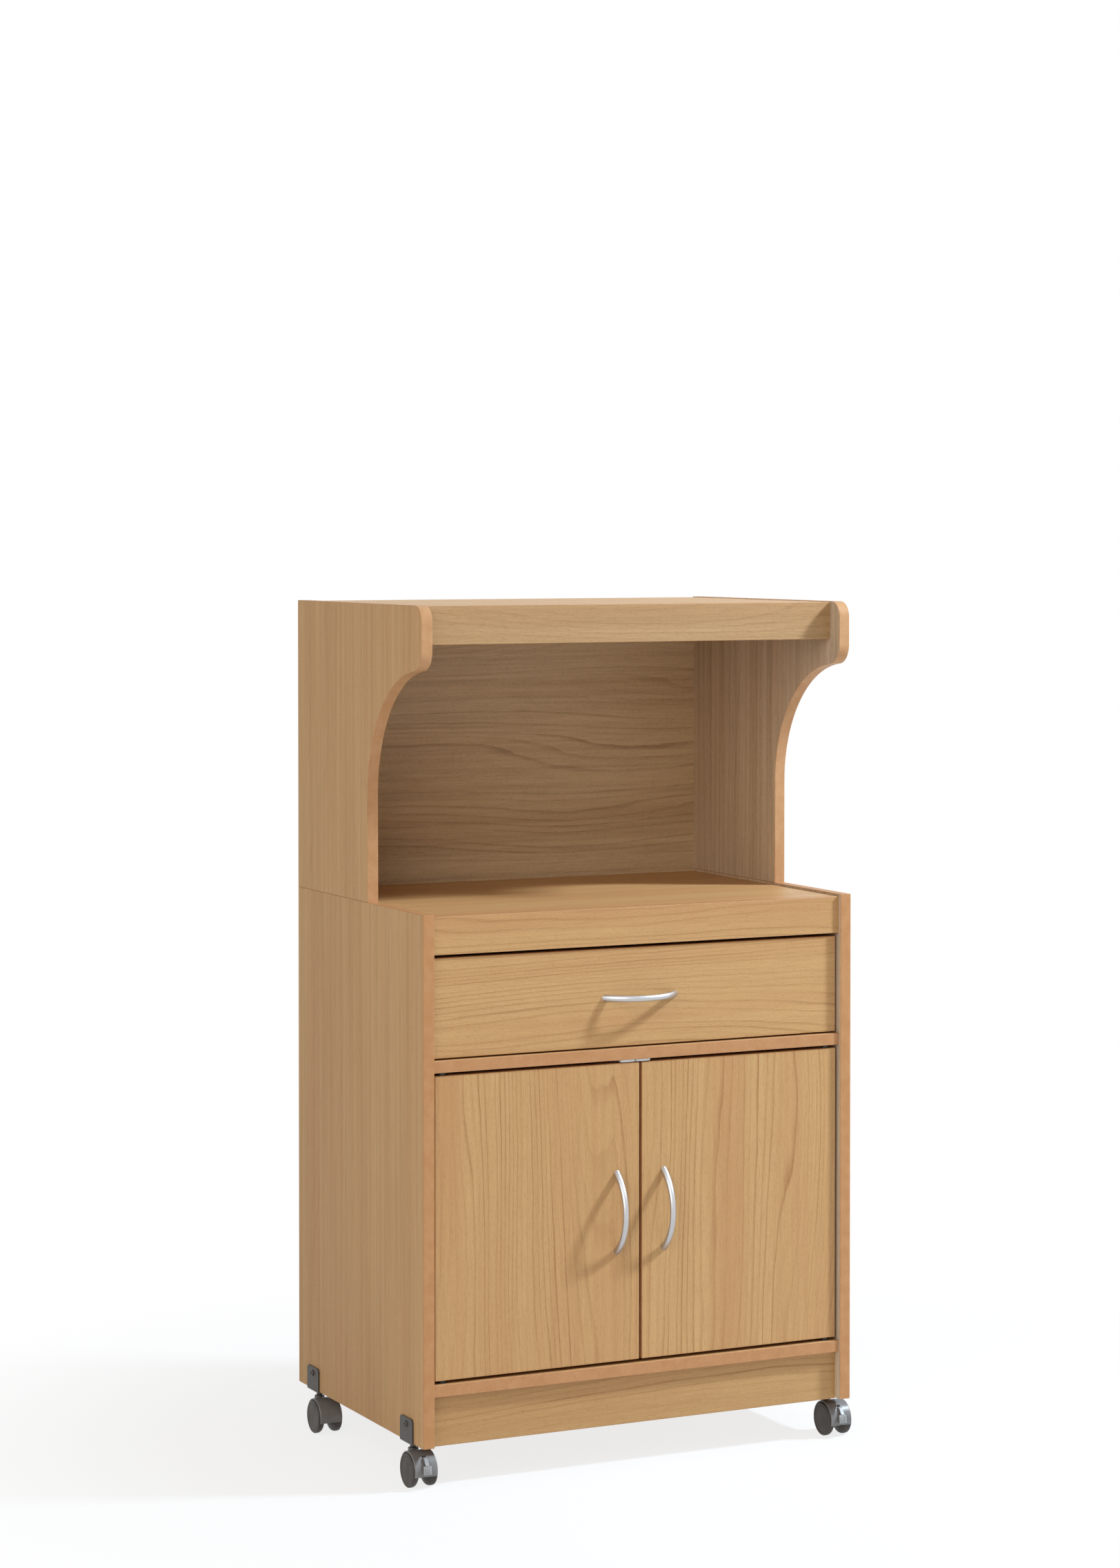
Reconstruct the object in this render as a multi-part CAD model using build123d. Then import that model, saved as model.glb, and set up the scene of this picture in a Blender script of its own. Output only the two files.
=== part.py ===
from build123d import *
import math
import os

os.makedirs("parts", exist_ok=True)

# Driving dimensions, in millimetres. The cart stands on the floor at Z = 0, with its front
# towards -Y and X = 0 in its middle.

# Cabinet and hutch outline
cart_width = 600.0
cart_depth = 400.0
side_height = 650.0
hutch_height = 374.5
board = 15.0
floor_gap = 52.0
edge_round = 0.8

# Heights above the side panels' lower edges
bottom_height = 61.0
divider_height = 456.5
rail_height = 600.0
worktop_height = 632.0

# How far each piece stands behind the side panels' front edges
hutch_setback = 5.0
fascia_setback = 28.0
rail_setback = 5.0
drawer_setback = 8.5
door_setback = 6.5
divider_setback = 3.8
bottom_setback = 3.0
kick_setback = 12.0
kick_drop = 1.0

# Swept front edge of the hutch sides
hutch_round = 20.0
hutch_lip_round = 25.0
hutch_sweep = 160.0
hutch_sweep_height = 785.0
hutch_foot = 171.0
fascia_height = 47.5
top_panel_drop = 1.0

# Thin back panels in their rebates
back_thickness = 4.0
back_bite = 5.0

# Drawer
drawer_gap_side = 2.9
drawer_gap_bottom = 2.0
drawer_gap_top = 4.0
drawer_board = 12.0
drawer_side_gap = 5.0
drawer_side_height = 95.0
drawer_side_lift = 9.5
drawer_length = 348.5
drawer_floor = 4.0
drawer_floor_lift = 4.0
rail_size = 16.0
rail_reach = 11.0
rail_play = 0.5
rail_nose = 2.0
rail_length = 330.0
rail_front = 46.0
rail_peg_radius = 2.5
rail_peg_length = 8.0

# Doors and their pivots
door_gap_side = 3.6
door_gap_end = 4.0
door_gap_middle = 3.7
pivot_inset = 12.0
pivot_pin_radius = 2.5
pivot_plug_radius = 4.0
pivot_plug_length = 20.0
pivot_flange_radius = 5.0
pivot_pin_reach = 8.0
bush_radius = 4.5
bush_flange = 1.0
bush_length = 9.0
bush_flange_radius = 6.0
running_gap = 0.05
thrust_gap = 0.3

# Magnetic catch and strike plates
catch_middle = -7.5
catch_width = 42.0
catch_depth = 13.0
catch_height = 12.0
catch_base_depth = 26.0
catch_base = 3.0
catch_lip = 2.8
catch_lip_setback = 1.5
catch_lip_round = 2.5
strike_width = 15.0
strike_height = 11.0
strike_thickness = 1.0

# Bow handles
handle_pitch = 96.0
handle_projection = 27.5
handle_width_middle = 7.5
handle_width_gain = 2.0
handle_thickness_middle = 6.0
handle_thickness_gain = 3.0
handle_offset = 33.0
handle_screw_radius = 1.6
handle_screw_head = 4.0
handle_screw_head_height = 2.4
handle_screw_bite = 4.0
handle_tap_depth = 4.5

# Cross recess in the screw heads and cam locks
recess_reach = 2.2
recess_half = 0.5
recess_depth = 1.2

# Cam fittings that pull the boards together
cam_radius = 7.4
cam_hole = 7.5
cam_height = 12.0
cam_hole_depth = 12.5
cam_inset = 34.0
cam_rows = (80.0, 340.0)
hutch_cam_rows = (215.0, 355.0)
cam_slot = 7.2
bolt_screw_radius = 2.5
bolt_screw_length = 10.0
bolt_shank_radius = 3.3
bolt_hole = 3.5
bolt_shank_length = 28.0
bolt_neck_radius = 2.0
bolt_head_radius = 3.2
bolt_head_start = 33.0
bolt_length = 36.0

# Casters
wheel_radius = 21.0
wheel_inner = 3.2
wheel_hub = 8.5
wheel_cone_end = 9.3
wheel_shoulder = 5.0
wheel_outer = 16.5
wheel_rim = 1.5
wheel_face_groove = 17.0
axle_radius = 2.5
axle_half = 13.3
hub_end = 13.5
web_gap = 0.5
web_drop = 4.8
hood_inner = 21.8
hood_outer = 23.4
hood_half = 15.0
hood_drop_angle = 12.0
caster_trail = 17.0
socket_radius = 6.5
socket_top = 23.0
socket_bottom = 6.0
stem_radius = 3.0
stem_neck_radius = 3.8
stem_depth = 19.0
caster_front_inset = 48.0
caster_rear_inset = 52.0

# Caster brackets
bracket_width = 37.0
bracket_height = 30.0
bracket_thickness = 2.2
bracket_corner = 5.0
bracket_bend = 0.6
bracket_screw_height = 22.0
bracket_screw_radius = 1.9
bracket_screw_length = 12.0
bracket_screw_head = 4.2
bracket_screw_head_height = 2.2

# Brake levers on the front casters, seen from the side: places from the axle, forward and up
brake_pivot = (11.0, 11.0)
brake_hub_radius = 3.0
brake_pin_radius = 1.5
brake_pin_half = 4.4
brake_arm_half = 2.2
brake_arm_thickness = 2.6
brake_knee = (18.2, 18.2)
brake_tab_top = (25.8, 9.0)
brake_tab_bottom = (27.0, -1.5)
brake_tab_half = 5.3
brake_tab_thickness = 2.2
brake_rib = 0.9
brake_rib_spacing = 2.6
brake_play = 0.4
brake_lift_angle = 20.0

# Derived places
handle_overhang = handle_projection - door_setback
front = -(cart_depth - handle_overhang) / 2
back = front + cart_depth
outer = cart_width / 2
inner = outer - board
base = floor_gap
joint_z = base + side_height
top_z = joint_z + hutch_height
bottom_z = base + bottom_height
divider_z = base + divider_height
worktop_z = base + worktop_height
hutch_top_z = top_z - top_panel_drop - board
drawer_face = front + drawer_setback
drawer_face_back = drawer_face + board
door_face = front + door_setback
door_back = door_face + board
back_face = back - back_thickness
stem_x = outer - board / 2
hair = 0.02
end_play = 0.5


def slab(x, y, z):
    """Box between the two ends given for each axis."""
    size = [high - low for low, high in (x, y, z)]
    middle = [(low + high) / 2 for low, high in (x, y, z)]
    return Pos(*middle) * Box(*size)


def rod(radius, start, end):
    """Cylinder from one point to another."""
    first = Vector(*start)
    along = Vector(*end) - first
    upright = Cylinder(radius, along.length, align=(Align.CENTER, Align.CENTER, Align.MIN))
    return Plane(origin=first, z_dir=along) * upright


def turned(points, axis_start, axis_way):
    """Solid of revolution: points are (radius, distance along the axis), closed along the axis."""
    outline = [(0, points[0][1])] + list(points) + [(0, points[-1][1])]
    face = Plane.XZ * make_face(Polyline(*outline, close=True))
    upright = revolve(face, Axis.Z)
    return Plane(origin=axis_start, z_dir=axis_way) * upright


def cross_recess(top, place, way):
    """Cutter for the driver's cross in a head whose top is that far from its place along its way."""
    arm = (-recess_reach, recess_reach)
    thin = (-recess_half, recess_half)
    deep = (top - recess_depth, top)
    return Plane(origin=place, z_dir=way) * (slab(arm, thin, deep) + slab(thin, arm, deep))


def mirrored(part):
    """The same piece on the other side of the cart."""
    return mirror(part, about=Plane.YZ)


def save(name, shape):
    export_step(shape, f"parts/{name}.step")


def save_pair(name, right_piece):
    """Writes a piece of the right side and its mirror image on the left."""
    save(f"right_{name}", right_piece)
    save(f"left_{name}", mirrored(right_piece))


# Cabinet boards

shelf_heights = (bottom_z, divider_z, worktop_z)


def back_rebate(z_low, z_high):
    """Rebate in the right inner faces that takes the edge of a back panel."""
    return slab((inner, inner + back_bite), (back_face, back), (z_low, z_high))


def cross_board(y, z):
    """Board between the sides, with its two front edges eased."""
    plain = slab((-inner, inner), y, z)
    return fillet(plain.edges().filter_by(Axis.X).group_by(Axis.Y)[0], edge_round)


def cam_pockets(z_low):
    """Cutters for the cam locks and bolts of a board whose underside is at z_low."""
    cutters = []
    for sign in (-1, 1):
        end = sign * inner
        centre = sign * (inner - cam_inset)
        for row in cam_rows:
            y = front + row
            z_middle = z_low + board / 2
            cutters.append(rod(cam_hole, (centre, y, z_low), (centre, y, z_low + cam_hole_depth)))
            cutters.append(rod(bolt_hole, (end, y, z_middle), (centre, y, z_middle)))
    return cutters


def side_panel():
    """Right lower side panel."""
    panel = slab((inner, outer), (front, back), (base, joint_z))
    panel = fillet(panel.edges(), edge_round)
    panel -= back_rebate(bottom_z, joint_z)
    for row in cam_rows:
        y = front + row
        for z_low in shelf_heights:
            z = z_low + board / 2
            panel -= rod(bolt_screw_radius, (inner, y, z), (inner + bolt_screw_length, y, z))
    for row in hutch_cam_rows:
        y = front + row
        cam_z = joint_z - cam_inset
        panel -= rod(cam_hole, (inner, y, cam_z), (inner + cam_hole_depth, y, cam_z))
        panel -= rod(bolt_hole, (stem_x, y, joint_z), (stem_x, y, cam_z))
    for y in rail_pegs:
        panel -= rod(rail_peg_radius, (inner, y, rail_z), (inner + rail_peg_length, y, rail_z))
    for y in caster_ys:
        z = base + bracket_screw_height
        panel -= rod(bracket_screw_radius, (outer, y, z), (outer - bracket_screw_length, y, z))
    return panel


def hutch_side():
    """Right hutch side: a square back, a round nose and a long concave sweep down to its foot."""
    nose = front + hutch_setback
    foot = front + hutch_foot
    sweep_y = foot - hutch_sweep
    sweep_z = base + hutch_sweep_height
    lip_y = nose + hutch_lip_round
    reach = hutch_lip_round + hutch_sweep
    lip_z = sweep_z + math.sqrt(reach**2 - (lip_y - sweep_y) ** 2)
    turn = math.degrees(math.acos((lip_y - sweep_y) / reach))
    outline = [
        Line((foot, joint_z), (back, joint_z)),
        Line((back, joint_z), (back, top_z)),
        Line((back, top_z), (nose + hutch_round, top_z)),
        CenterArc((nose + hutch_round, top_z - hutch_round), hutch_round, 90, 90),
        Line((nose, top_z - hutch_round), (nose, lip_z)),
        CenterArc((lip_y, lip_z), hutch_lip_round, 180, turn),
        CenterArc((sweep_y, sweep_z), hutch_sweep, 0, turn),
        Line((foot, sweep_z), (foot, joint_z)),
    ]
    panel = Pos(inner, 0, 0) * extrude(Plane.YZ * make_face(outline), board)
    panel = fillet(panel.faces().filter_by(Axis.X).edges(), edge_round)
    panel -= back_rebate(joint_z, hutch_top_z + back_bite)
    for row in cam_rows:
        y = front + row
        z = hutch_top_z + board / 2
        panel -= rod(bolt_screw_radius, (inner, y, z), (inner + bolt_screw_length, y, z))
    for row in hutch_cam_rows:
        y = front + row
        panel -= rod(bolt_screw_radius, (stem_x, y, joint_z), (stem_x, y, joint_z + bolt_screw_length))
    return panel


def board_rebate(z_low):
    """Rebate in a board's back edge for the long edge of a back panel."""
    return slab((-inner, inner), (back_face, back), (z_low, z_low + back_bite))


def bottom_panel():
    panel = cross_board((front + bottom_setback, back_face), (bottom_z, bottom_z + board))
    panel -= cam_pockets(bottom_z)
    for sign in (-1, 1):
        x = sign * pivot_x
        top = bottom_z + board
        panel -= rod(bush_radius, (x, pivot_y, top), (x, pivot_y, top - bush_length))
    return panel


def drawer_divider():
    panel = cross_board((front + divider_setback, back_face), (divider_z, divider_z + board))
    panel -= cam_pockets(divider_z)
    for sign in (-1, 1):
        x = sign * pivot_x
        panel -= rod(bush_radius, (x, pivot_y, divider_z), (x, pivot_y, divider_z + bush_length))
    return panel


def microwave_board():
    panel = slab((-inner, inner), (front + rail_setback + board, back), (worktop_z, worktop_z + board))
    panel -= cam_pockets(worktop_z)
    panel -= board_rebate(worktop_z)
    panel -= board_rebate(worktop_z + board - back_bite)
    return panel


def hutch_top_panel():
    panel_y = (front + fascia_setback + board, back)
    panel = slab((-inner, inner), panel_y, (hutch_top_z, hutch_top_z + board))
    panel -= cam_pockets(hutch_top_z)
    panel -= board_rebate(hutch_top_z)
    return panel


def back_panel(z_low, z_high):
    reach = inner + back_bite
    return slab((-reach, reach), (back_face, back), (z_low, z_high))


# Cam fittings

def cam_lock(origin, inward, to_bolt):
    """Cam disc set into a board's face, with the slot that closes on the bolt's head."""
    disc = Cylinder(cam_radius, cam_height, align=(Align.CENTER, Align.CENTER, Align.MIN))
    half = cam_slot / 2
    slot = slab((-half, cam_radius), (-half, half), (board / 2 - half, board / 2 + half))
    lock = Plane(origin=origin, x_dir=to_bolt, z_dir=inward) * (disc - slot)
    return lock - cross_recess(recess_depth, origin, inward)


def cam_bolt(origin, way):
    """Bolt that is screwed into one board and caught by the cam in the other."""
    outline = [
        (bolt_screw_radius, -bolt_screw_length),
        (bolt_screw_radius, 0),
        (bolt_shank_radius, 0),
        (bolt_shank_radius, bolt_shank_length),
        (bolt_neck_radius, bolt_shank_length),
        (bolt_neck_radius, bolt_head_start),
        (bolt_head_radius, bolt_head_start),
        (bolt_head_radius, bolt_length),
    ]
    return turned(outline, origin, way)


def cam_fittings():
    """All cam locks and all bolts: four to each cross board and two under each hutch side."""
    locks = []
    bolts = []
    for sign in (-1, 1):
        for row in cam_rows:
            y = front + row
            for z_low in shelf_heights + (hutch_top_z,):
                locks.append(cam_lock((sign * (inner - cam_inset), y, z_low), (0, 0, 1), (sign, 0, 0)))
                bolts.append(cam_bolt((sign * inner, y, z_low + board / 2), (-sign, 0, 0)))
        for row in hutch_cam_rows:
            y = front + row
            locks.append(cam_lock((sign * inner, y, joint_z - cam_inset), (sign, 0, 0), (0, 0, 1)))
            bolts.append(cam_bolt((sign * stem_x, y, joint_z), (0, 0, -1)))
    return Compound(locks), Compound(bolts)


# Bow handles

def bow_handle(angle):
    """Arched bar on two feet, wider at the feet, with a tapped hole in each; angle 90 stands it up."""
    rise = handle_projection - handle_thickness_middle / 2
    half_pitch = handle_pitch / 2
    radius = (half_pitch**2 + rise**2) / (2 * rise)
    end_x = half_pitch * 1.12
    end_y = (radius - rise) - (radius**2 - end_x**2) ** 0.5
    path = ThreePointArc((-end_x, end_y, 0), (0, -rise, 0), (end_x, end_y, 0))
    sections = []
    for step in (0.0, 0.25, 0.5, 0.75, 1.0):
        towards_foot = (2 * step - 1) ** 2
        width = handle_width_middle + handle_width_gain * towards_foot
        thickness = handle_thickness_middle + handle_thickness_gain * towards_foot
        place = Plane(origin=path @ step, x_dir=(0, 0, 1), z_dir=path % step)
        sections.append(place * Ellipse(width / 2, thickness / 2))
    bar = sweep(sections, path=path, multisection=True)
    bar -= slab((-handle_pitch, handle_pitch), (0, handle_pitch), (-handle_pitch, handle_pitch))
    for x in (-half_pitch, half_pitch):
        bar -= rod(handle_screw_radius + running_gap, (x, 0, 0), (x, -handle_tap_depth, 0))
    return Rot(0, angle, 0) * bar


def screw_places(angle):
    """The two screw axes of a handle, from its middle."""
    half_pitch = handle_pitch / 2
    return [(0, half_pitch), (0, -half_pitch)] if angle else [(-half_pitch, 0), (half_pitch, 0)]


def handle_screws(x, face, z, angle):
    """The two screws behind a handle: head on the panel's back, shank through it into the foot."""
    outline = [
        (handle_screw_radius, -board - handle_screw_bite),
        (handle_screw_radius, 0),
        (handle_screw_head, 0),
        (handle_screw_head * 0.8, handle_screw_head_height),
    ]
    places = [(x + dx, face + board, z + dz) for dx, dz in screw_places(angle)]
    way = (0, 1, 0)
    top = handle_screw_head_height
    return Compound([turned(outline, place, way) - cross_recess(top, place, way) for place in places])


def handle_holes(x, face, z, angle):
    """Cutters for the handle screws in a drawer front or door."""
    return [
        rod(handle_screw_radius + 0.5, (x + dx, face, z + dz), (x + dx, face + board, z + dz))
        for dx, dz in screw_places(angle)
    ]


# Drawer

drawer_low = divider_z + board + drawer_gap_bottom
drawer_high = base + rail_height - drawer_gap_top
drawer_middle_z = (drawer_low + drawer_high) / 2
drawer_half = inner - drawer_gap_side
box_outer = inner - drawer_side_gap
box_inner = box_outer - drawer_board
box_low = divider_z + board + drawer_side_lift
box_high = box_low + drawer_side_height
box_back = drawer_face_back + drawer_length
box_floor = box_low + drawer_floor_lift
floor_bite = drawer_board / 2 - 1
floor_half = box_inner + floor_bite
floor_z = (box_floor, box_floor + drawer_floor)
rail_z = (box_low + box_high) / 2
rail_pegs = [front + rail_front + rail_length * share for share in (0.1, 0.5, 0.9)]


def drawer_front():
    panel = slab((-drawer_half, drawer_half), (drawer_face, drawer_face_back), (drawer_low, drawer_high))
    panel = fillet(panel.faces().sort_by(Axis.Y)[0].edges(), edge_round)
    panel -= slab((-floor_half, floor_half), (drawer_face_back - floor_bite, drawer_face_back), floor_z)
    panel -= handle_holes(0, drawer_face, drawer_middle_z, 0)
    return panel


def drawer_side():
    """Right drawer side, grooved outside for the rail and inside for the floor."""
    panel = slab((box_inner, box_outer), (drawer_face_back, box_back), (box_low, box_high))
    panel = fillet(panel.faces().sort_by(Axis.Z)[-1].edges().filter_by(Axis.Y), edge_round)
    groove_half = rail_size / 2 + rail_play
    groove_x = (inner - rail_reach - rail_play, box_outer)
    groove_y = (front + rail_front - rail_play, box_back)
    panel -= slab(groove_x, groove_y, (rail_z - groove_half, rail_z + groove_half))
    panel -= slab((box_inner, floor_half), (drawer_face_back, box_back), floor_z)
    return panel


def drawer_back():
    return slab((-box_inner, box_inner), (box_back - drawer_board, box_back), (floor_z[1], box_high))


def drawer_bottom():
    return slab((-floor_half, floor_half), (drawer_face_back - floor_bite, box_back), floor_z)


def drawer_rail():
    """Right cabinet rail: a plastic bar with a rounded nose and pegs into the side panel."""
    rail_y = front + rail_front
    half = rail_size / 2
    bar = slab((inner - rail_reach, inner), (rail_y, rail_y + rail_length), (rail_z - half, rail_z + half))
    bar = fillet(bar.faces().sort_by(Axis.X)[0].edges(), rail_nose)
    peg_end = inner + rail_peg_length - end_play
    for y in rail_pegs:
        bar += rod(rail_peg_radius - hair, (inner - rail_nose, y, rail_z), (peg_end, y, rail_z))
    return bar


# Doors

door_low = bottom_z + board + door_gap_end
door_high = divider_z - door_gap_end
door_edge = inner - door_gap_side
door_meet = door_gap_middle / 2
door_middle_z = (door_low + door_high) / 2
pivot_x = door_edge - pivot_inset
pivot_y = door_face + board / 2
pivot_flange = door_gap_end - bush_flange - thrust_gap
pivot_ends = ((door_low, -1), (door_high, 1))


def door():
    """Right door, with holes for its pivot plugs and its handle."""
    panel = slab((door_meet, door_edge), (door_face, door_back), (door_low, door_high))
    panel = fillet(panel.edges(), edge_round)
    for z, way in pivot_ends:
        hole_end = z - way * pivot_plug_length
        panel -= rod(pivot_plug_radius, (pivot_x, pivot_y, z), (pivot_x, pivot_y, hole_end))
    panel -= handle_holes(handle_offset, door_face, door_middle_z, 90)
    return panel


def door_pivots():
    """The right door's two pivots: plug in the door, flange on its edge and pin into the bush."""
    pins = []
    for z, way in pivot_ends:
        outline = [
            (pivot_plug_radius - hair, -pivot_plug_length + end_play),
            (pivot_plug_radius - hair, 0),
            (pivot_flange_radius, 0),
            (pivot_flange_radius, pivot_flange),
            (pivot_pin_radius, pivot_flange),
            (pivot_pin_radius, door_gap_end + pivot_pin_reach),
        ]
        pins.append(turned(outline, (pivot_x, pivot_y, z), (0, 0, way)))
    return Compound(pins)


def pivot_bushes():
    """Flanged bushes for all four pivots, set into the bottom panel and the divider."""
    bushes = []
    for sign in (-1, 1):
        for z, way in ((bottom_z + board, -1), (divider_z, 1)):
            outline = [
                (bush_flange_radius, -bush_flange),
                (bush_flange_radius, 0),
                (bush_radius - hair, 0),
                (bush_radius - hair, bush_length - hair),
            ]
            x = sign * pivot_x
            bush = turned(outline, (x, pivot_y, z), (0, 0, way))
            bore_start = (x, pivot_y, z - way * bush_flange)
            bore_end = (x, pivot_y, z + way * (pivot_pin_reach + thrust_gap))
            bushes.append(bush - rod(pivot_pin_radius + running_gap, bore_start, bore_end))
    return Compound(bushes)


def door_catch():
    """Double magnetic catch under the divider: base, housing behind the doors and two lips over them."""
    y = door_back + strike_thickness + thrust_gap
    half = catch_width / 2
    side_view = Polyline(
        (y, divider_z),
        (y, divider_z - catch_height),
        (y + catch_depth, divider_z - catch_height),
        (y + catch_depth, divider_z - catch_base),
        (y + catch_base_depth, divider_z - catch_base),
        (y + catch_base_depth, divider_z),
        close=True,
    )
    body = Pos(-half, 0, 0) * extrude(Plane.YZ * make_face(side_view), catch_width)
    body = fillet(body.edges().filter_by(Axis.X).group_by(Axis.Z)[0], 1.2)
    body = fillet(body.edges().filter_by(Axis.Z), 1.0)
    lip_y = (front + divider_setback + catch_lip_setback, y + catch_base)
    lip = slab((thrust_gap, half), lip_y, (divider_z - catch_lip, divider_z))
    lip = fillet(lip.edges().filter_by(Axis.Z).group_by(Axis.Y)[0], catch_lip_round)
    return Pos(catch_middle, 0, 0) * (body + lip + mirrored(lip))


def strike_plate():
    """Steel plate on the right door's back that the catch's magnet holds."""
    x = door_meet + 3.0
    z = door_high - 1.5
    plate = slab(
        (x, x + strike_width),
        (door_back, door_back + strike_thickness),
        (z - strike_height, z),
    )
    return fillet(plate.edges().filter_by(Axis.Y), 2.0)


# Casters. Each is made about its axle's middle, with the stem behind it, then put in its place.

caster_ys = (front + caster_front_inset, back - caster_rear_inset)
casters = {
    "front_left": (-1, caster_ys[0]),
    "front_right": (1, caster_ys[0]),
    "rear_left": (-1, caster_ys[1]),
    "rear_right": (1, caster_ys[1]),
}
bracket_low = base - bracket_thickness


def side_profile(points):
    """Closed outline in the caster's side view, from (forward, up) points."""
    return Plane.YZ * make_face(Polyline(*[(-ahead, up) for ahead, up in points], close=True))


def wheel():
    """Right wheel of a pair: cone-shaped inner side, flat tread and a ring round its outer face."""
    bore = axle_radius + running_gap
    section = make_face(
        Polyline(
            (wheel_inner, bore),
            (wheel_inner, wheel_hub),
            (wheel_cone_end, wheel_radius),
            (wheel_outer, wheel_radius),
            (wheel_outer, wheel_face_groove + 0.5),
            (wheel_outer - 0.4, wheel_face_groove),
            (wheel_outer - 0.1, wheel_face_groove - 0.5),
            (wheel_outer - 0.1, 0),
            (hub_end, 0),
            (hub_end, bore),
            close=True,
        )
    )
    section = fillet(section.vertices().sort_by_distance((wheel_cone_end, wheel_radius))[0], wheel_shoulder)
    section = fillet(section.vertices().sort_by_distance((wheel_outer, wheel_radius))[0], wheel_rim)
    return revolve(section, Axis.X)


def caster_web():
    """Web between the wheels: it follows their cones, and ends a little below the axle."""
    hub_half = wheel_inner - web_gap
    hub = wheel_hub - web_gap / 2
    rim = hood_inner + 0.6
    rim_half = hub_half + (rim - hub) * (wheel_cone_end - wheel_inner) / (wheel_radius - wheel_hub)
    half = [(hub_half, 0), (hub_half, hub), (rim_half, rim)]
    other_half = [(-x, radius) for x, radius in reversed(half)]
    disc = revolve(make_face(Polyline(*half, *other_half, close=True)), Axis.X)
    return disc & slab((-hood_half, hood_half), (-rim, rim), (-web_drop, rim))


def brake_direction(angle):
    """Unit vector, forward and up, of the brake arm raised by an angle from its rest."""
    start = Vector(brake_knee[0] - brake_pivot[0], brake_knee[1] - brake_pivot[1])
    return start.normalized().rotate(Axis.Z, angle)


def brake_cutter():
    """Room in the web and the hood for the lever's hub and for its arm over the whole travel."""
    reach = 16.0
    room = brake_arm_thickness / 2 + brake_play
    pivot = Vector(*brake_pivot)
    low_way = brake_direction(0)
    high_way = brake_direction(brake_lift_angle)
    low_side = low_way.rotate(Axis.Z, -90) * room
    high_side = high_way.rotate(Axis.Z, 90) * room
    corners = [pivot + low_side, pivot + low_way * reach + low_side]
    corners += [pivot + high_way * reach + high_side, pivot + high_side]
    wedge = side_profile([(corner.X, corner.Y) for corner in corners])
    half = brake_arm_half + brake_play
    cut = extrude(wedge, half, both=True)
    centre = (-brake_pivot[0], brake_pivot[1])
    return cut + rod(brake_hub_radius + brake_play, (-half, *centre), (half, *centre))


def caster_housing(with_brake):
    """Moulded hood over both wheels, the web between them and the socket for the stem."""
    band = Pos(0, (hood_inner + hood_outer) / 2) * Rectangle(2 * hood_half, hood_outer - hood_inner)
    band = fillet(band.vertices().group_by(Axis.Y)[-1], 1.2)
    hood = revolve(Rot(-hood_drop_angle, 0, 0) * band, Axis.X, 180 + 2 * hood_drop_angle)
    socket = rod(socket_radius, (0, caster_trail, socket_bottom), (0, caster_trail, socket_top))
    socket = fillet(socket.edges().group_by(Axis.Z)[-1], 0.8)
    well = rod(hood_inner, (-hood_half, 0, 0), (hood_half, 0, 0))
    body = hood + caster_web() + (socket - well)
    bore_end = socket_top - stem_depth - end_play
    body -= rod(stem_radius + running_gap, (0, caster_trail, bore_end), (0, caster_trail, socket_top))
    body -= rod(axle_radius + hair, (-wheel_inner, 0, 0), (wheel_inner, 0, 0))
    if with_brake:
        centre = (-brake_pivot[0], brake_pivot[1])
        pin_half = brake_pin_half + thrust_gap
        body -= brake_cutter()
        body -= rod(brake_pin_radius + running_gap, (-pin_half, *centre), (pin_half, *centre))
    return body


def brake_lever():
    """Lever on its own pin: hub, arm through the hood's slot, and a broad ribbed tab in front."""
    centre = (-brake_pivot[0], brake_pivot[1])
    hub = rod(brake_hub_radius, (-brake_arm_half, *centre), (brake_arm_half, *centre))
    pin = rod(brake_pin_radius, (-brake_pin_half, *centre), (brake_pin_half, *centre))
    route = [(-ahead, up) for ahead, up in (brake_pivot, brake_knee, brake_tab_top)]
    arm_face = Plane.YZ * trace(FilletPolyline(*route, radius=3.0), brake_arm_thickness)
    arm = extrude(arm_face, brake_arm_half, both=True)
    tab_route = [(-ahead, up) for ahead, up in (brake_tab_top, brake_tab_bottom)]
    tab = extrude(Plane.YZ * trace(Line(*tab_route), brake_tab_thickness), brake_tab_half, both=True)
    tab = fillet(tab.faces().sort_by(Axis.Y)[0].edges(), 0.7)
    rib_ahead = brake_tab_thickness / 2
    rib_ends = [(brake_tab_top[0] + rib_ahead, brake_tab_top[1] - 2.0)]
    rib_ends += [(brake_tab_bottom[0] + rib_ahead, brake_tab_bottom[1] + 2.0)]
    rib_face = Plane.YZ * trace(Line(*[(-ahead, up) for ahead, up in rib_ends]), brake_rib)
    rib = extrude(rib_face, brake_rib / 2, both=True)
    ribs = [Pos(step * brake_rib_spacing, 0, 0) * rib for step in (-1, 0, 1)]
    return hub + pin + arm + tab + ribs


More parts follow.
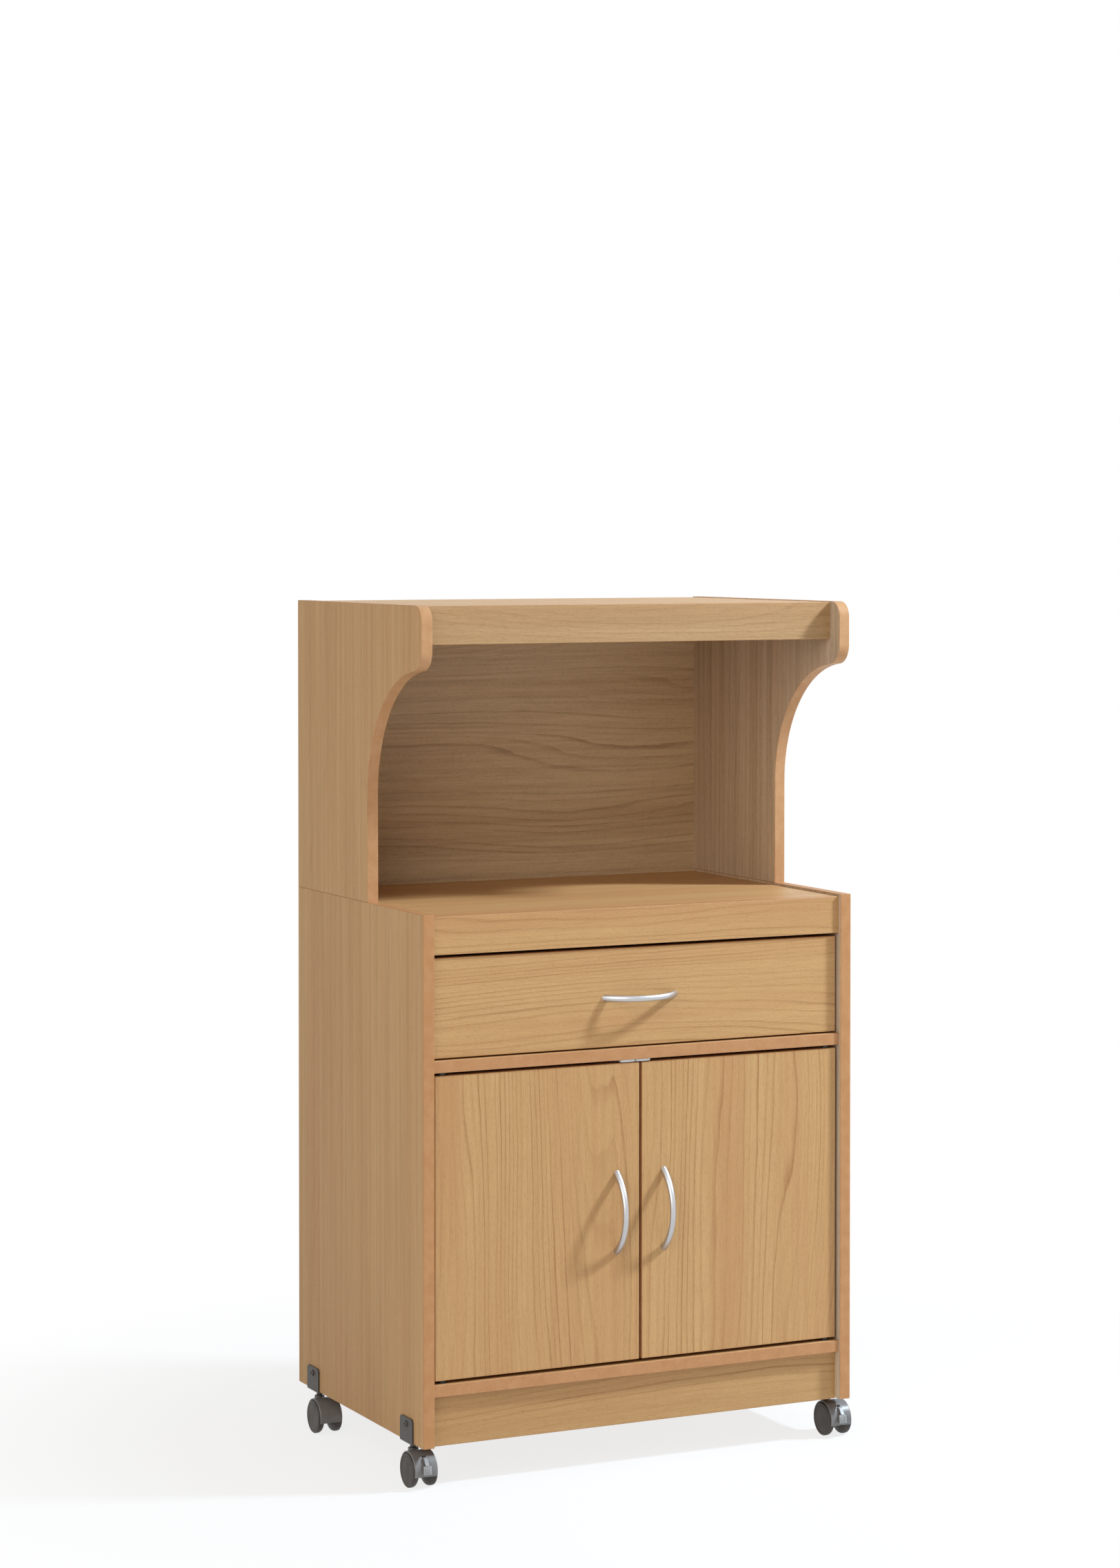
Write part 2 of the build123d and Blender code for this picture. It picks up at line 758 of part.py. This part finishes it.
def caster_bracket():
    """Right bracket: a plate on the panel's outer face, bent under the panel to carry the stem."""
    leg_end = inner - 1.0
    plate_face = outer + bracket_thickness
    end_view = Polyline(
        (outer, base + bracket_height),
        (plate_face, base + bracket_height),
        (plate_face, bracket_low),
        (leg_end, bracket_low),
        (leg_end, base),
        (outer, base),
        close=True,
    )
    shape = extrude(Plane.XZ * make_face(end_view), bracket_width / 2, both=True)
    upright = shape.edges().filter_by(Axis.X).group_by(Axis.Z)[-1]
    shape = fillet(upright, bracket_corner)
    outer_bend = shape.edges().filter_by(Axis.Y).group_by(Axis.Z)[0].sort_by(Axis.X)[-1]
    shape = fillet(outer_bend, bracket_bend + bracket_thickness)
    inner_bend = shape.edges().filter_by(Axis.Y).sort_by_distance((outer, 0, base))[0]
    shape = fillet(inner_bend, bracket_bend)
    screw_z = base + bracket_screw_height
    shape -= rod(bracket_screw_radius + 0.2, (outer, 0, screw_z), (plate_face, 0, screw_z))
    shape -= rod(stem_radius + hair, (stem_x, 0, bracket_low), (stem_x, 0, base))
    return shape


def caster_stem():
    """Stem riveted into the bracket's leg, with a thick neck that the housing turns under."""
    socket_z = wheel_radius + socket_top
    neck_end = base - socket_z - thrust_gap
    outline = [
        (stem_radius, 0),
        (stem_radius, bracket_thickness),
        (stem_neck_radius, bracket_thickness),
        (stem_neck_radius, neck_end),
        (stem_radius, neck_end),
        (stem_radius, base - socket_z + stem_depth),
    ]
    return turned(outline, (stem_x, 0, base), (0, 0, -1))


def bracket_screw():
    """Pan-head screw through the bracket's plate into the side panel."""
    outline = [
        (bracket_screw_radius - hair, -bracket_thickness - bracket_screw_length + end_play),
        (bracket_screw_radius - hair, 0),
        (bracket_screw_head, 0),
        (bracket_screw_head, bracket_screw_head_height * 0.4),
        (bracket_screw_head * 0.7, bracket_screw_head_height),
    ]
    start = (outer + bracket_thickness, 0, base + bracket_screw_height)
    way = (1, 0, 0)
    return turned(outline, start, way) - cross_recess(bracket_screw_head_height, start, way)


def write_casters():
    right_wheel = wheel()
    housings = {True: caster_housing(True), False: caster_housing(False)}
    lever = brake_lever()
    stem = caster_stem()
    screw = bracket_screw()
    bracket = caster_bracket()
    stems = []
    screws = []
    for name, (sign, y) in casters.items():
        axle_place = Pos(sign * stem_x, y - caster_trail, wheel_radius)
        braked = name.startswith("front")
        save(f"{name}_caster_housing", axle_place * housings[braked])
        save(f"{name}_axle", axle_place * rod(axle_radius, (-axle_half, 0, 0), (axle_half, 0, 0)))
        save(f"{name}_right_wheel", axle_place * right_wheel)
        save(f"{name}_left_wheel", axle_place * mirrored(right_wheel))
        if braked:
            save(f"{name}_brake_lever", axle_place * lever)
        fixed = [Pos(0, y, 0) * piece for piece in (bracket, stem, screw)]
        if sign < 0:
            fixed = [mirrored(piece) for piece in fixed]
        save(f"{name}_caster_bracket", fixed[0])
        stems.append(fixed[1])
        screws.append(fixed[2])
    save("caster_stems", Compound(stems))
    save("bracket_screws", Compound(screws))


def write_carcass():
    save_pair("side_panel", side_panel())
    save_pair("hutch_side", hutch_side())
    save("hutch_top_panel", hutch_top_panel())
    fascia_y = front + fascia_setback
    fascia_top = hutch_top_z + board
    fascia_z = (fascia_top - fascia_height, fascia_top)
    save("hutch_fascia", cross_board((fascia_y, fascia_y + board), fascia_z))
    save("hutch_back_panel", back_panel(worktop_z + board - back_bite, hutch_top_z + back_bite))
    save("cabinet_back_panel", back_panel(bottom_z, worktop_z + back_bite))
    save("microwave_board", microwave_board())
    rail_y = front + rail_setback
    save("top_rail", cross_board((rail_y, rail_y + board), (base + rail_height, worktop_z + board)))
    save("drawer_divider", drawer_divider())
    save("bottom_panel", bottom_panel())
    kick_y = front + kick_setback
    save("kick_plate", cross_board((kick_y, kick_y + board), (base - kick_drop, bottom_z)))
    locks, bolts = cam_fittings()
    save("cam_locks", locks)
    save("cam_bolts", bolts)
    save_pair("drawer_rail", drawer_rail())
    save("door_catch", door_catch())
    save("door_pivot_bushes", pivot_bushes())


def write_drawer():
    save("drawer_front", drawer_front())
    right_side = drawer_side()
    save("drawer_right_side", right_side)
    save("drawer_left_side", mirrored(right_side))
    save("drawer_back", drawer_back())
    save("drawer_bottom", drawer_bottom())
    save("drawer_handle", Pos(0, drawer_face, drawer_middle_z) * bow_handle(0))
    save("drawer_handle_screws", handle_screws(0, drawer_face, drawer_middle_z, 0))


def write_doors():
    save_pair("door", door())
    save_pair("door_handle", Pos(handle_offset, door_face, door_middle_z) * bow_handle(90))
    save_pair("handle_screws", handle_screws(handle_offset, door_face, door_middle_z, 90))
    save_pair("door_pivots", door_pivots())
    save_pair("strike_plate", strike_plate())


write_carcass()
write_drawer()
write_doors()
write_casters()
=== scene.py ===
import math

import bpy
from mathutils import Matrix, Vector


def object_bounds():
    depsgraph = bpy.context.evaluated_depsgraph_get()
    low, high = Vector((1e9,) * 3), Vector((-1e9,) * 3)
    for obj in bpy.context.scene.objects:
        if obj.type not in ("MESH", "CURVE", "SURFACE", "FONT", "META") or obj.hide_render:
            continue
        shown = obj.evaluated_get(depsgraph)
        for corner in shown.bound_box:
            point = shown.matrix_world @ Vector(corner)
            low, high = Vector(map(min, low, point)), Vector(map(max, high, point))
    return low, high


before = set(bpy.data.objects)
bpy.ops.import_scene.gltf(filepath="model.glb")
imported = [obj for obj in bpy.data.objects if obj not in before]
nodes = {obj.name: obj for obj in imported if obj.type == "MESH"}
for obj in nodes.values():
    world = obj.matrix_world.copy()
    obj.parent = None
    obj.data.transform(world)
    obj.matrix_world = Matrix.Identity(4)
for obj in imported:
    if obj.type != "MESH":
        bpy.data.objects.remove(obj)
cad_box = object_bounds()

# Photograph frame, in pixels, and the camera fitted to it
photo_height = 2273
photo_centre_x = 812.0
focal_pixels = 5287.6
optical_x = 804.6
optical_y = 896.9
sensor_mm = 36.0
camera_place = (-2.0945, -4.2092, 1.1687)
camera_yaw = 26.132
camera_pitch = 1.403

# Cool key light at the right, above and in front, and a wide warm fill light at the left front
key_place = Vector((2.55, -1.28, 2.90))
key_size = 0.40
key_power = 195.0
key_colour = (0.72, 0.855, 1.0)
soft_colour = (1.0, 0.952, 0.90)
fill_place = Vector((-2.90, -2.60, 2.20))
fill_size = 3.0
fill_power = 64.0
world_light = 0.272

# Colours, linear. Each foil has its ground, its grain lines and its pinker patches, and each
# pair of edge bands its ground and its paler blotches.
front_foil = ((0.570, 0.340, 0.143), (0.350, 0.165, 0.058), (0.520, 0.275, 0.113))
# Front foil made darker, as painted shade for the kick plate
painted_shade_foil = ((0.512, 0.302, 0.124), (0.312, 0.148, 0.051), (0.468, 0.248, 0.100))
# Front foil made darker and bluer, as painted shade for the fascia
fascia_painted_shade_foil = ((0.508, 0.323, 0.156), (0.272, 0.138, 0.053), (0.473, 0.275, 0.128))
# Front foil made lighter and bluer, as painted light for the side panels
side_painted_light_foil = ((0.660, 0.415, 0.193), (0.435, 0.238, 0.100), (0.612, 0.346, 0.154))
# Paler, greyer foil, as painted light bounced into the hutch
back_painted_light_foil = ((0.675, 0.500, 0.305), (0.300, 0.180, 0.090), (0.605, 0.418, 0.238))
# Paler, greyer foil for the faces that look into the cart, as painted light
inner_painted_light_foil = ((0.665, 0.525, 0.370), (0.295, 0.195, 0.115), (0.600, 0.445, 0.290))
cabinet_bands = ((0.483, 0.227, 0.094), (0.556, 0.287, 0.131))
# Cabinet bands made paler, as painted light on the hutch's edges
hutch_painted_light_bands = ((0.530, 0.278, 0.130), (0.610, 0.350, 0.180))
handle_silver = (0.56, 0.56, 0.57)
zinc = (0.60, 0.60, 0.58)
bracket_brown = (0.050, 0.043, 0.038)
# Housing grey far lighter than its own dark grey, as painted sheen from the key light
caster_grey_with_painted_sheen = (0.200, 0.190, 0.185)
wheel_grey = (0.036, 0.026, 0.018)
brake_grey = (0.36, 0.36, 0.35)
pale_plastic = (0.72, 0.72, 0.70)
dark_plastic = (0.030, 0.025, 0.020)
floor_white = (0.85, 0.85, 0.85)

# Wood grain: repeats of each noise in a metre along the grain, across it and into the board
wander_repeats = (1.3, 5.0, 5.0)
crowd_repeats = (0.9, 15.0, 15.0)
shiver_repeats = (14.0, 70.0, 70.0)
patch_repeats = (3.0, 24.0, 24.0)
cloud_repeats = (1.2, 20.0, 20.0)
streak_repeats = (1.6, 120.0, 120.0)
fibre_repeats = (26.0, 520.0, 520.0)
pore_repeats = (190.0, 900.0, 900.0)

# Growth lines, in metres: their spacing and how far each noise moves them
line_spacing = 0.0085
wander_reach = 0.15
crowd_reach = 0.05
shiver_reach = 0.004

# Strength of the grain's other marks, and the depth of its relief in metres
fibre_strength = 0.16
pore_strength = 0.20
cloud_strength = 0.8
relief_depth = 0.00010

# Floor, in metres: its size, and the distances between which it goes from near_glow to plain white
floor_size = 40.0
glow_start = 0.35
glow_end = 1.1
near_glow = 0.80


class Tree:
    """Node tree of a material, with one call to add a node and join or set its inputs."""

    def __init__(self, name):
        self.material = bpy.data.materials.new(name)
        self.material.use_nodes = True
        self.nodes = self.material.node_tree.nodes
        self.links = self.material.node_tree.links
        self.bsdf = self.nodes["Principled BSDF"]

    def set(self, node, inputs):
        """Gives a node's inputs, by name or place, a fixed value or another node's output."""
        for key, value in inputs.items():
            if isinstance(value, bpy.types.NodeSocket):
                self.links.new(value, node.inputs[key])
            else:
                node.inputs[key].default_value = value

    def add(self, kind, inputs, output=0, **settings):
        """Adds a node and returns one of its outputs."""
        node = self.nodes.new("ShaderNode" + kind)
        for key, value in settings.items():
            setattr(node, key, value)
        self.set(node, inputs)
        return node.outputs[output]

    def math(self, operation, first, second=0.0, third=0.0, clamp=False):
        return self.add("Math", {0: first, 1: second, 2: third}, operation=operation, use_clamp=clamp)

    def ramp(self, value, low, high, out_low=0.0, out_high=1.0):
        """Value taken from one range to another, smoothly and clamped."""
        inputs = {"Value": value, "From Min": low, "From Max": high, "To Min": out_low, "To Max": out_high}
        return self.add("MapRange", inputs, interpolation_type="SMOOTHSTEP")

    def noise(self, place, scale, detail, roughness=0.5):
        inputs = {"Vector": place, "Scale": scale, "Detail": detail, "Roughness": roughness}
        return self.add("TexNoise", inputs)

    def mix(self, factor, first, second):
        """Blend of two colours."""
        node = self.nodes.new("ShaderNodeMix")
        node.data_type = "RGBA"
        self.set(node, {0: factor, 6: first, 7: second})
        return node.outputs[2]

    def grain_noise(self, place, repeats, detail=1.0, roughness=0.5):
        """Noise with its own repeats in a metre each way."""
        stretched = self.add("VectorMath", {0: place, 1: repeats}, operation="MULTIPLY")
        return self.noise(stretched, 1.0, detail, roughness)

    def object_place(self):
        return self.add("TexCoord", {}, output="Object")

    def bump(self, height, distance, strength):
        return self.add("Bump", {"Height": height, "Distance": distance, "Strength": strength})


def rgba(colour):
    return (*colour, 1.0)


def face_mask(tree, face):
    """1 on the two broad faces of a board, 0 on its edges and their rounding."""
    normal = tree.add("TexCoord", {}, output="Normal")
    part = tree.add("SeparateXYZ", {0: normal}, output=face)
    return tree.ramp(tree.math("ABSOLUTE", part), 0.80, 0.90)


def grain_place(tree, along, face):
    """Coordinates along the grain, across it and into the board, moved by each board's own shift."""
    across = next(axis for axis in "XYZ" if axis not in (along, face))
    split = tree.nodes.new("ShaderNodeSeparateXYZ")
    tree.set(split, {0: tree.object_place()})
    parts = [split.outputs[axis] for axis in (along, across, face)]
    ordered = tree.add("CombineXYZ", dict(enumerate(parts)))
    shift = tree.add(
        "Attribute", {}, output="Vector", attribute_type="OBJECT", attribute_name="grain_shift"
    )
    return tree.add("VectorMath", {0: ordered, 1: shift}, operation="ADD")


def growth_lines(tree, place):
    """Thin growth lines along the grain that wander, crowd together and fade one by one."""
    wander = tree.grain_noise(place, wander_repeats)
    crowd = tree.grain_noise(place, crowd_repeats)
    shiver = tree.grain_noise(place, shiver_repeats)
    across = tree.add("SeparateXYZ", {0: place}, output=1)
    across = tree.math("MULTIPLY_ADD", wander, wander_reach, across)
    across = tree.math("MULTIPLY_ADD", crowd, crowd_reach, across)
    across = tree.math("MULTIPLY_ADD", shiver, shiver_reach, across)
    turns = tree.math("DIVIDE", across, line_spacing)
    saw = tree.math("FRACT", turns)
    weight = tree.add("TexWhiteNoise", {"W": tree.math("FLOOR", turns)}, noise_dimensions="1D")
    line = tree.math("MULTIPLY", tree.ramp(saw, 0.55, 0.94), tree.ramp(saw, 1.0, 0.94))
    return tree.math("MULTIPLY", line, tree.ramp(weight, 0.0, 1.0, 0.15, 1.0))


def inner_mask(tree):
    """1 on the faces that look towards the cart's middle, where the painted light goes, 0 on all others.
    """
    normal = tree.add("SeparateXYZ", {0: tree.add("TexCoord", {}, output="Normal")}, output="X")
    side = tree.add("SeparateXYZ", {0: tree.object_place()}, output="X")
    return tree.ramp(tree.math("MULTIPLY", normal, side), -0.10, -0.20)


def wood(
    name, along, face, foil, line_strength, streak_strength,
    gloss=0.25, inside=None, bands=cabinet_bands,
):
    """Wood-grain foil on the faces of a board and a plain pinkish band on its edges.

    The paler, greyer colours named inside, where there are any, go on the faces that look into the cart as
    painted light.
    """
    light, deep, pink = [rgba(colour) for colour in foil]
    tree = Tree(name)
    place = grain_place(tree, along, face)
    lines = growth_lines(tree, place)
    patches = tree.grain_noise(place, patch_repeats, detail=2.0)
    clouds = tree.grain_noise(place, cloud_repeats, detail=2.0)
    streaks = tree.grain_noise(place, streak_repeats, detail=2.0)
    fibres = tree.grain_noise(place, fibre_repeats, detail=3.0, roughness=0.6)
    pores = tree.grain_noise(place, pore_repeats)

    patch = tree.ramp(patches, 0.30, 0.70, 0.35, 1.0)
    line = tree.math("MULTIPLY", lines, tree.math("MULTIPLY", patch, line_strength))
    streak = tree.math("MULTIPLY", tree.ramp(streaks, 0.30, 0.72), streak_strength)
    fibre = tree.math("MULTIPLY", tree.ramp(fibres, 0.35, 0.72), fibre_strength)
    pore = tree.math("MULTIPLY", tree.ramp(pores, 0.52, 0.70), pore_strength)
    fine = tree.math("ADD", fibre, pore)
    dark = tree.math("ADD", line, tree.math("ADD", streak, fine), clamp=True)
    cloud = tree.ramp(clouds, 0.32, 0.70, 0.0, cloud_strength)
    grain = tree.mix(dark, tree.mix(cloud, light, pink), deep)
    # Painted light: a paler, greyer foil on the faces that look into the cart
    if inside:
        light, deep, pink = [rgba(colour) for colour in inside]
        inner_painted_light_grain = tree.mix(dark, tree.mix(cloud, light, pink), deep)
        grain = tree.mix(inner_mask(tree), grain, inner_painted_light_grain)

    blotch = tree.ramp(tree.noise(tree.object_place(), 70.0, 2.0), 0.3, 0.7, 0.0, 0.6)
    speckle = tree.ramp(tree.noise(tree.object_place(), 420.0, 3.0), 0.3, 0.7, 0.0, 0.22)
    band = tree.mix(speckle, tree.mix(blotch, rgba(bands[0]), rgba(bands[1])), rgba(foil[1]))
    broad = face_mask(tree, face)
    relief = tree.math("ADD", tree.ramp(pores, 0.45, 0.70), tree.ramp(fibres, 0.35, 0.75))
    tree.set(tree.bsdf, {
        "Base Color": tree.mix(broad, band, grain),
        "Roughness": tree.ramp(fibres, 0.2, 0.8, 0.36, 0.50),
        "Normal": tree.bump(tree.math("MULTIPLY", relief, broad), -relief_depth, 0.6),
        "Specular IOR Level": gloss,
    })
    return tree.material


def plastic(name, colour, roughness):
    """Moulded plastic with a fine spark-eroded grain."""
    grain_repeats = 900.0
    grain_depth = 0.00004
    wear_repeats = 60.0
    worn_share = 0.78
    tree = Tree(name)
    place = tree.object_place()
    grain = tree.noise(place, grain_repeats, 3.0)
    wear = tree.noise(place, wear_repeats, 3.0)
    shade = [channel * worn_share for channel in colour]
    tree.set(tree.bsdf, {
        "Base Color": tree.mix(tree.ramp(wear, 0.3, 0.7), rgba(colour), rgba(shade)),
        "Roughness": tree.ramp(wear, 0.3, 0.7, roughness - 0.05, roughness + 0.07),
        "Normal": tree.bump(grain, grain_depth, 0.6),
    })
    return tree.material


def satin_metal(name, colour, roughness):
    """Sprayed or plated metal with a faint mottle in its gloss."""
    mottle_repeats = 350.0
    fine_repeats = 2600.0
    fine_depth = 0.00001
    dull_share = 0.9
    tree = Tree(name)
    place = tree.object_place()
    mottle = tree.noise(place, mottle_repeats, 3.0)
    fine = tree.noise(place, fine_repeats, 2.0)
    duller = [channel * dull_share for channel in colour]
    tree.set(tree.bsdf, {
        "Base Color": tree.mix(tree.ramp(mottle, 0.3, 0.7, 0.0, 0.25), rgba(colour), rgba(duller)),
        "Metallic": 1.0,
        "Roughness": tree.ramp(mottle, 0.3, 0.7, roughness - 0.03, roughness + 0.04),
        "Normal": tree.bump(fine, fine_depth, 0.4),
    })
    return tree.material


def painted_steel(name, colour):
    """Dark paint on pressed steel, with a slight orange-peel surface."""
    peel_repeats = 700.0
    peel_depth = 0.00005
    blotch_repeats = 90.0
    light_share = 1.5
    tree = Tree(name)
    place = tree.object_place()
    peel = tree.noise(place, peel_repeats, 2.0)
    blotch = tree.noise(place, blotch_repeats, 3.0)
    lighter = [channel * light_share for channel in colour]
    tree.set(tree.bsdf, {
        "Base Color": tree.mix(tree.ramp(blotch, 0.35, 0.75), rgba(colour), rgba(lighter)),
        "Roughness": tree.ramp(blotch, 0.3, 0.7, 0.42, 0.55),
        "Normal": tree.bump(peel, peel_depth, 0.5),
    })
    return tree.material


def finish_nodes(material, names):
    """Puts one material on CAD nodes."""
    for name in names:
        data = nodes[name].data
        data.materials.clear()
        data.materials.append(material)


def finish_boards(material, shifts):
    """Puts a wood material on boards, each with its own place in the log."""
    finish_nodes(material, shifts)
    for name, shift in shifts.items():
        nodes[name]["grain_shift"] = shift


# Board finishes

# Inside the sides, a paler, greyer foil stands as painted light
side_marks = {"line_strength": 0.22, "streak_strength": 0.34, "gloss": 0.10, "inside": inner_painted_light_foil}
inner_marks = {"line_strength": 0.45, "streak_strength": 0.12}
upright_sides = wood("upright_side_foil", "Z", "X", side_painted_light_foil, **side_marks)
# Hutch sides: paler bands, as painted light
hutch_sides = wood("hutch_side_foil", "Z", "X", side_painted_light_foil, bands=hutch_painted_light_bands, **side_marks)
upright_fronts = wood(
    "upright_front_foil", "Z", "Y", front_foil, line_strength=0.80, streak_strength=0.16
)
level_fronts = wood(
    "level_front_foil", "X", "Y", front_foil, line_strength=0.65, streak_strength=0.12
)
# Darker copy of the front foil: painted shade
painted_shade_fronts = wood(
    "painted_shade_front_foil", "X", "Y", painted_shade_foil, line_strength=0.75, streak_strength=0.12
)
# Darker, bluer copy of the front foil with finer grain lines: painted shade
fine_painted_shade_fronts = wood(
    "fine_painted_shade_front_foil", "X", "Y", fascia_painted_shade_foil, line_strength=0.30, streak_strength=0.24
)
# Paler, greyer foil: painted light
thin_backs = wood(
    "thin_back_foil", "X", "Y", back_painted_light_foil, line_strength=0.48, streak_strength=0.26
)
level_boards = wood("level_board_foil", "X", "Z", front_foil, **inner_marks)
deep_boards = wood("deep_board_foil", "Y", "X", front_foil, **inner_marks)

# Boards: metres along the grain, across it and into the log by which each one is moved

# The side panels' lighter, bluer foil is painted light
finish_boards(upright_sides, {
    "left_side_panel": (0.40, 0.42, 0.30),
    "right_side_panel": (1.30, 0.55, 0.70),
})
# The hutch sides' paler bands and lighter foil are painted light
finish_boards(hutch_sides, {
    "left_hutch_side": (2.20, 0.47, 0.10),
    "right_hutch_side": (3.10, 0.35, 0.50),
})
finish_boards(upright_fronts, {
    "left_door": (-0.90, 0.150, 0.0),
    "right_door": (-0.35, -0.120, 0.6),
})
finish_boards(level_fronts, {
    "drawer_front": (-0.55, -0.600, 0.2),
    "top_rail": (2.10, -0.50, 0.4),
    "drawer_back": (5.0, -0.30, 1.4),
})
# The kick plate's darker foil is painted shade
finish_boards(painted_shade_fronts, {
    "kick_plate": (4.50, 0.20, 0.8),
})
# The fascia's darker, bluer foil is painted shade
finish_boards(fine_painted_shade_fronts, {
    "hutch_fascia": (3.30, -0.90, 0.6),
})
# The back panels' paler, greyer foil is painted light
finish_boards(thin_backs, {
    "hutch_back_panel": (-0.65, -0.85, 1.0),
    "cabinet_back_panel": (-0.60, -0.35, 1.2),
})
finish_boards(level_boards, {
    "hutch_top_panel": (-0.5, 0.02, 0.1),
    "microwave_board": (1.2, 0.30, 0.3),
    "drawer_divider": (2.4, 0.25, 0.5),
    "bottom_panel": (3.6, 0.20, 0.7),
    "drawer_bottom": (4.8, 0.35, 0.9),
})
finish_boards(deep_boards, {
    "drawer_left_side": (0.8, -0.20, 0.2),
    "drawer_right_side": (1.9, -0.40, 0.4),
})

# Fittings

corners = ("front_left", "front_right", "rear_left", "rear_right")
finish_nodes(satin_metal("satin_silver", handle_silver, 0.36), [
    "drawer_handle", "left_door_handle", "right_door_handle",
])
finish_nodes(satin_metal("zinc_plate", zinc, 0.38), [
    "cam_locks", "cam_bolts", "drawer_handle_screws", "left_handle_screws", "right_handle_screws",
    "left_strike_plate", "right_strike_plate", *[f"{corner}_axle" for corner in corners],
])
finish_nodes(plastic("pale_moulding", pale_plastic, 0.45), [
    "left_drawer_rail", "right_drawer_rail", "door_catch",
])
finish_nodes(plastic("dark_moulding", dark_plastic, 0.5), [
    "door_pivot_bushes", "left_door_pivots", "right_door_pivots",
])
finish_nodes(painted_steel("bracket_paint", bracket_brown), [
    "caster_stems", "bracket_screws", *[f"{corner}_caster_bracket" for corner in corners],
])
# The housings' light grey is mostly painted sheen
finish_nodes(plastic("caster_moulding", caster_grey_with_painted_sheen, 0.36), [
    f"{corner}_caster_housing" for corner in corners
])
finish_nodes(plastic("wheel_moulding", wheel_grey, 0.48), [
    f"{corner}_{side}_wheel" for corner in corners for side in ("left", "right")
])
finish_nodes(plastic("brake_moulding", brake_grey, 0.42), [
    "front_left_brake_lever", "front_right_brake_lever",
])


# Stage

def white_floor():
    """Pale floor that is white to the camera and still takes the cart's shadow."""
    bpy.ops.mesh.primitive_plane_add(size=floor_size, location=(0, 0, 0))
    floor = bpy.context.object
    floor.name = "floor"
    tree = Tree("floor_white")
    tree.set(tree.bsdf, {"Base Color": rgba(floor_white), "Roughness": 0.9, "Specular IOR Level": 0.1})
    glow = tree.add("Emission", {"Color": (1, 1, 1, 1), "Strength": 1.0})
    path = tree.nodes.new("ShaderNodeLightPath")
    seen = tree.math("MAXIMUM", path.outputs["Is Camera Ray"], path.outputs["Is Glossy Ray"])
    seen = tree.math("MAXIMUM", seen, path.outputs["Is Transmission Ray"])
    reach = tree.add("VectorMath", {0: tree.object_place()}, output="Value", operation="LENGTH")
    share = tree.math("MULTIPLY", seen, tree.ramp(reach, glow_start, glow_end, near_glow, 1.0))
    shown = tree.add("MixShader", {0: share, 1: tree.bsdf.outputs[0], 2: glow})
    tree.links.new(shown, tree.nodes["Material Output"].inputs["Surface"])
    floor.data.materials.append(tree.material)


def white_world():
    """White to the camera and in reflections, and a plain soft light on the object."""
    world = bpy.data.worlds.new("studio")
    bpy.context.scene.world = world
    world.use_nodes = True
    tree = world.node_tree
    soft = tree.nodes["Background"]
    soft.inputs["Color"].default_value = rgba(soft_colour)
    soft.inputs["Strength"].default_value = world_light
    white = tree.nodes.new("ShaderNodeBackground")
    white.inputs["Color"].default_value = (1, 1, 1, 1)
    path = tree.nodes.new("ShaderNodeLightPath")
    seen = tree.nodes.new("ShaderNodeMath")
    seen.operation = "MAXIMUM"
    tree.links.new(path.outputs["Is Camera Ray"], seen.inputs[0])
    tree.links.new(path.outputs["Is Glossy Ray"], seen.inputs[1])
    through = tree.nodes.new("ShaderNodeMath")
    through.operation = "MAXIMUM"
    tree.links.new(seen.outputs[0], through.inputs[0])
    tree.links.new(path.outputs["Is Transmission Ray"], through.inputs[1])
    shown = tree.nodes.new("ShaderNodeMixShader")
    tree.links.new(through.outputs[0], shown.inputs[0])
    tree.links.new(soft.outputs[0], shown.inputs[1])
    tree.links.new(white.outputs[0], shown.inputs[2])
    tree.links.new(shown.outputs[0], tree.nodes["World Output"].inputs["Surface"])


def area_light(name, place, size, power, colour):
    """Square lamp that faces the cart's middle."""
    middle = (cad_box[0] + cad_box[1]) / 2
    lamp = bpy.data.lights.new(name, "AREA")
    lamp.size = size
    lamp.energy = power
    lamp.color = colour
    holder = bpy.data.objects.new(name, lamp)
    holder.location = place
    holder.rotation_euler = (middle - place).to_track_quat("-Z", "Y").to_euler()
    bpy.context.scene.collection.objects.link(holder)


def photo_camera():
    """Camera at the photograph's place, with the shift that its framing needs."""
    lens = bpy.data.cameras.new("photo_camera")
    lens.sensor_fit = "VERTICAL"
    lens.sensor_height = sensor_mm
    lens.lens = focal_pixels * sensor_mm / photo_height
    lens.shift_x = (photo_centre_x - optical_x) / photo_height
    lens.shift_y = (optical_y - photo_height / 2) / photo_height
    holder = bpy.data.objects.new("photo_camera", lens)
    holder.location = camera_place
    holder.rotation_euler = (math.radians(90 - camera_pitch), 0, math.radians(-camera_yaw))
    bpy.context.scene.collection.objects.link(holder)
    bpy.context.scene.camera = holder


white_floor()
white_world()
area_light("key_light", key_place, key_size, key_power, key_colour)
area_light("fill_light", fill_place, fill_size, fill_power, soft_colour)
photo_camera()
bpy.context.scene.view_settings.view_transform = "Standard"
